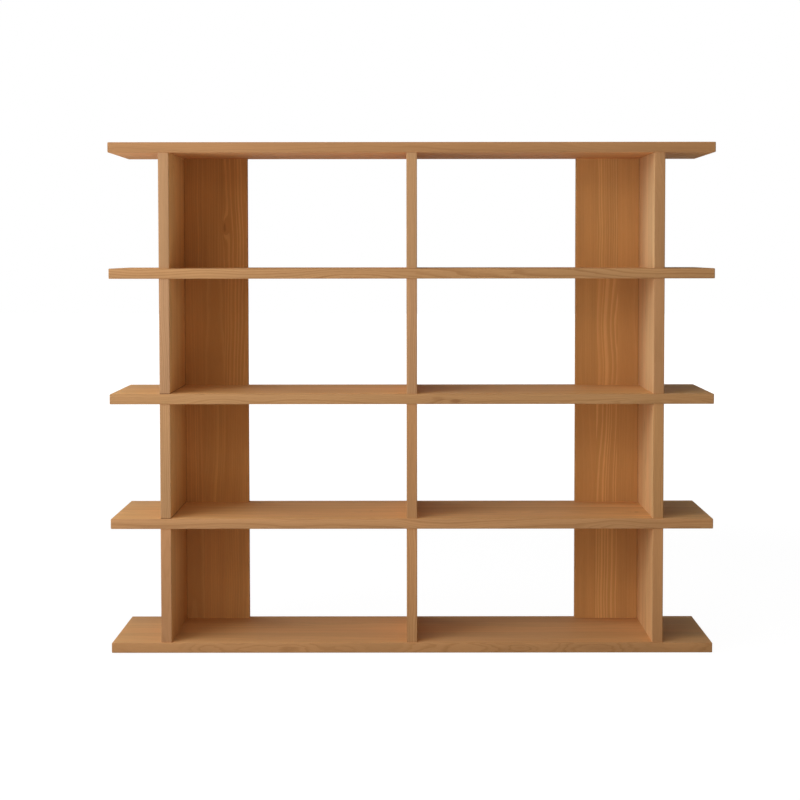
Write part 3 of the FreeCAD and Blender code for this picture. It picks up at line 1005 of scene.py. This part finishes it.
@dataclass
class Fittings:
    """The tie rods with their inserts, washers and nuts, and the felt glides."""

    rod: float = 8.0 * MM
    pitch: float = 1.25 * MM
    thread_depth: float = 0.68 * MM
    threaded: float = 45.0 * MM
    bore: float = 8.2 * MM
    insert: float = 12.0 * MM
    insert_pitch: float = 2.5 * MM
    insert_depth: float = 1.1 * MM
    nut_flats: float = 13.0 * MM
    washer: float = 24.0 * MM
    glide: float = 28.0 * MM
    fuzz: float = 0.35 * MM
    columns: int = 3

    def rod_blank(self) -> Turned:
        """A rod's blank.

        Returns:
            The blank, whose levels lie close together where it is threaded.
        """
        foot, head = ends("tie_rods")
        radius, ease, run_out = self.rod / 2, 1.0 * MM, 1.5 * self.pitch
        lower = levels(foot + ease, foot + self.threaded, self.pitch / 4)
        upper = levels(head - self.threaded, head - ease, self.pitch / 4)
        profile = [(0.0, foot), (radius - ease, foot)]
        profile += [(radius, level, min(1.0, (foot + self.threaded - level) / run_out)) for level in lower]
        profile += [(radius, level, min(1.0, (level - head + self.threaded) / run_out)) for level in upper]
        profile += [(radius - ease, head), (0.0, head)]
        return Turned(profile, steps=24)

    def insert_blank(self) -> Turned:
        """An insert's blank.

        Returns:
            The blank, a sleeve with a flat rim at its foot.
        """
        foot, head = ends("rod_inserts")
        inner, outer, ease = self.bore / 2, self.insert / 2, 0.5 * MM
        threaded = levels(foot + 2 * ease, head - ease, self.insert_pitch / 5)
        profile = [(inner + ease, foot), (outer - ease / 2, foot), (outer, foot + ease / 2)]
        profile += [(outer, level, min(1.0, (level - threaded[0]) / self.insert_pitch)) for level in threaded]
        profile += [(outer - 2 * ease, head), (inner + ease, head), (inner, head - ease), (inner, foot + ease)]
        return Turned(profile, ring=True, steps=36)

    def nut_blank(self) -> Turned:
        """A nut's blank.

        Returns:
            The blank, whose corners are turned off.
        """
        foot, head = ends("rod_nuts")
        inner, flats, ease = self.bore / 2, self.nut_flats / 2, 0.5 * MM
        face, corner = flats - 0.3 * MM, 0.17 * MM
        outline = [(inner + ease, foot), (face, foot), (flats, foot + corner), (flats, head - corner)]
        outline += [(face, head), (inner + ease, head), (inner, head - ease), (inner, foot + ease)]
        return Turned(outline, ring=True, corners=6, flats=flats)

    def washer_blank(self) -> Turned:
        """A washer's blank.

        Returns:
            The blank, with the soft upper edge and the sharp lower one that the press leaves.
        """
        foot, head = ends("rod_washers")
        inner, outer, ease = self.bore / 2, self.washer / 2, 0.3 * MM
        outline = [(inner + ease / 2, foot), (outer - ease / 3, foot), (outer, foot + ease / 3), (outer, head - ease)]
        outline += [(outer - ease / 3, head - ease / 3), (outer - ease, head), (inner + ease, head)]
        outline += [(inner + ease / 3, head - ease / 3), (inner, head - ease), (inner, foot + ease / 2)]
        return Turned(outline, ring=True)

    def glide_blank(self) -> Turned:
        """A glide's blank.

        Returns:
            The blank, worn round where it meets the floor.
        """
        foot, head = ends("felt_glides")
        radius, soft = self.glide / 2, 0.4 * MM
        outline = [(0.0, foot), (radius * 0.5, foot), (radius - 1.2 * MM, foot), (radius - soft, foot + 0.35 * MM)]
        outline += [(radius, foot + 1.1 * MM), (radius, foot + 2.2 * MM), (radius, head - soft)]
        outline += [(radius - soft, head), (0.0, head)]
        return Turned(outline, steps=64)

    def make(self, node: str, blank: Turned, across: float, slot: str, **cut: object) -> None:
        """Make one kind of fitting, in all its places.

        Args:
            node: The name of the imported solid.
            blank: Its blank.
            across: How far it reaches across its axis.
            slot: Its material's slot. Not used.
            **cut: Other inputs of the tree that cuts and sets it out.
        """
        low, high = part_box(node)
        values = {"Pitch": self.pitch, "Thread Depth": 0.0, "Fuzz": 0.0, "Columns": self.columns, "Rows": 1}
        values |= {"Width": high.x - low.x - across, "Depth": 0.0}
        if "Rows" in cut:
            values["Depth"] = high.y - low.y - across
        piece = set_out(f"{node}_made", blank.mesh(f"{node}_blank"), values | cut)
        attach(piece, BODY)
        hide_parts(node)
        LOG.info("%s: %d faces", piece.name, len(piece.data.polygons))

    def build(self, steel: bpy.types.Material, brass: bpy.types.Material, felt: bpy.types.Material) -> None:
        """Make all the fittings.

        Args:
            steel: The finish of the rods, nuts and washers.
            brass: The finish of the inserts.
            felt: The finish of the glides.
        """
        rod_thread = {"Material": steel, "Thread Depth": self.thread_depth}
        insert_thread = {"Material": brass, "Thread Depth": self.insert_depth, "Pitch": self.insert_pitch}
        nut = self.nut_flats / math.cos(math.pi / 6)
        self.make("tie_rods", self.rod_blank(), self.rod, "fitting_steel", **rod_thread)
        self.make("rod_inserts", self.insert_blank(), self.insert, "insert_brass", **insert_thread)
        self.make("rod_washers", self.washer_blank(), self.washer, "fitting_steel", Material=steel)
        self.make("rod_nuts", self.nut_blank(), nut, "fitting_steel", Material=steel)
        self.make("felt_glides", self.glide_blank(), self.glide, "felt", Material=felt, Rows=2, Fuzz=self.fuzz)


@dataclass
class Softbox:
    """A soft square studio lamp."""

    name: str
    place: Triple
    power: float
    tint: Triple = (1.0, 1.0, 1.0)
    side: float = 2.2
    aim: Triple = (0.0, 0.0, 0.7)

    def build(self) -> None:
        """Hang the lamp, out of the camera's sight."""
        light = bpy.data.lights.new(self.name, "AREA")
        light.shape = "SQUARE"
        light.size = self.side
        light.energy = self.power
        light.color = self.tint
        lamp = add_object(self.name, light)
        lamp.location = self.place
        lamp.rotation_euler = (Vector(self.aim) - Vector(self.place)).to_track_quat("-Z", "Y").to_euler()
        lamp.visible_camera = False


COOL, WARM = (0.95, 1.0, 1.1), (1.03, 0.98, 0.92)
LAMPS = (
    Softbox("key_low", (-2.77, -2.87, 1.12), 62.2, (0.97, 1.0, 1.15)),
    Softbox("key_high", (-1.27, -3.15, 2.82), 38.9),
    Softbox("key_left", (-2.60, -2.18, 2.82), 25.0, COOL),
    Softbox("front", (0.56, -3.95, 1.12), 10.0, WARM),
    Softbox("right_fill", (3.05, -2.56, 1.12), 14.8, (1.05, 0.97, 0.85)),
    Softbox("overhead", (0.0, -0.3, 4.2), 35.9, (1.05, 0.98, 0.92), side=2.4),
    Softbox("rear_left", (-2.97, 2.08, 2.39), 30.1, (0.92, 0.99, 1.15)),
    Softbox("floor_front", (0.0, -2.2, 0.01), 10.2, side=2.0, aim=(0.0, -2.2, 2.0)),
    Softbox("floor_left", (-2.4, -1.2, 0.01), 18.1, COOL, side=2.0, aim=(-2.4, -1.2, 2.0)),
)


@dataclass
class Studio:
    """The plain white room: a floor, soft lamps and the camera at the photograph's viewpoint."""

    camera_place: Triple = (0.0, -5.5916, 1.0689)
    pitch: float = 0.05524
    roll: float = -0.00084
    focal_pixels: float = 2042.67
    middle_pixel: tuple[float, float] = (411.81, 365.43)
    picture: float = 800.0
    sensor: float = 36.0
    fill: float = 0.008
    floor_half: float = 30.0
    floor_level: float = -0.2 * MM
    floor_white: float = 1.14
    # How much of that white shows over the shadow, near the bookcase and far from it
    floor_share: tuple[float, float] = (0.85, 1.0)
    floor_reach: tuple[float, float] = (2.0, 6.0)
    lamps: tuple[Softbox, ...] = LAMPS

    @staticmethod
    def seen(w: Wiring) -> Signal:
        """Tell what looks at a surface.

        Args:
            w: The material's wiring.

        Returns:
            1 for the camera, for a reflection and for a look through glass, and 0 for all other light.
        """
        path = w.add("ShaderNodeLightPath").outputs
        camera, glossy, through = (Signal(w, path[f"Is {ray} Ray"]) for ray in ("Camera", "Glossy", "Transmission"))
        return w.math("MAXIMUM", w.math("MAXIMUM", camera, glossy), through)

    def paint(self) -> bpy.types.Material:
        """Make the floor's paint, which keeps a little of the shadow and can't be seen from below.

        Returns:
            The material.
        """
        made, w = new_material("floor_paint")
        lit = w.get("ShaderNodeBsdfDiffuse", {"Color": (0.6, 0.6, 0.6, 1.0)})
        share = w.blend(w.step(w.vector("LENGTH", w.place()), *self.floor_reach), *self.floor_share)
        white = w.get("ShaderNodeEmission", {"Color": (1.0, 1.0, 1.0, 1.0), "Strength": self.floor_white})
        above = w.get("ShaderNodeMixShader", {0: self.seen(w) * share, 1: lit, 2: white})
        below = w.get("ShaderNodeBsdfTransparent")
        from_below = w.get("ShaderNodeNewGeometry", output="Backfacing")
        both = w.get("ShaderNodeMixShader", {0: from_below, 1: above, 2: below})
        w.add("ShaderNodeOutputMaterial", {"Surface": both})
        return made

    def build_room(self) -> None:
        """Lay the floor and set the room's own light."""
        corners = [(x * self.floor_half, y * self.floor_half) for x, y in ((-1, -1), (1, -1), (1, 1), (-1, 1))]
        mesh = bpy.data.meshes.new("floor")
        mesh.from_pydata([(x, y, self.floor_level) for x, y in corners], [], [(0, 1, 2, 3)])
        mesh.materials.append(self.paint())
        add_object("floor", mesh)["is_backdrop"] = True

        world = bpy.data.worlds.new("room")
        world.use_nodes = True
        w = Wiring(world.node_tree)
        strength = w.blend(self.seen(w), self.fill, 1.0)
        light = w.get("ShaderNodeBackground", {"Color": (1.0, 1.0, 1.0, 1.0), "Strength": strength})
        w.add("ShaderNodeOutputWorld", {"Surface": light})
        bpy.context.scene.world = world

    def build_camera(self) -> None:
        """Set the camera at the photograph's viewpoint."""
        lens = bpy.data.cameras.new("camera")
        lens.sensor_width = self.sensor
        lens.lens = lens.sensor_width * self.focal_pixels / self.picture
        lens.shift_x = (self.picture / 2 - self.middle_pixel[0]) / self.picture
        lens.shift_y = (self.middle_pixel[1] - self.picture / 2) / self.picture
        camera = add_object("camera", lens)
        level = Matrix.Rotation(math.pi / 2 - self.pitch, 4, "X")
        camera.matrix_world = Matrix.Translation(self.camera_place) @ level @ Matrix.Rotation(self.roll, 4, "Z")
        bpy.context.scene.camera = camera

    def build(self) -> None:
        """Make the room, its lamps and the camera."""
        self.build_room()
        for lamp in self.lamps:
            lamp.build()
        self.build_camera()
        bpy.context.scene.view_settings.view_transform = "Standard"
        LOG.info("studio: %d lamps", len(self.lamps))


def corners() -> list[list[float]]:
    """The lowest and highest corner of the object that shows, as plain lists."""
    return [list(corner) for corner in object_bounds()]


def main() -> None:
    """Build the bookcase and its room."""
    logging.basicConfig(level=logging.INFO, format="%(message)s")
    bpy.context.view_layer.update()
    finish = OiledSoftwood()
    Shelves(SHELF_CUTS).build(finish)
    for storey in STOREYS:
        storey.build(finish)
    bare_wood = BareWood().material()
    for name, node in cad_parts.items():
        if name.endswith("_tenons"):
            node.data.materials.clear()
            node.data.materials.append(bare_wood)
            LOG.info("%s: kept as packed", name)
    steel = Metal("zinc_plated_steel", colour(198, 200, 204), colour(158, 160, 164), 0.32).material()
    brass = Metal("plain_brass", colour(214, 180, 112), colour(168, 134, 78), 0.30).material()
    Fittings().build(steel, brass, Felt().material())
    Studio().build()


if __name__ == "__main__":
    main()
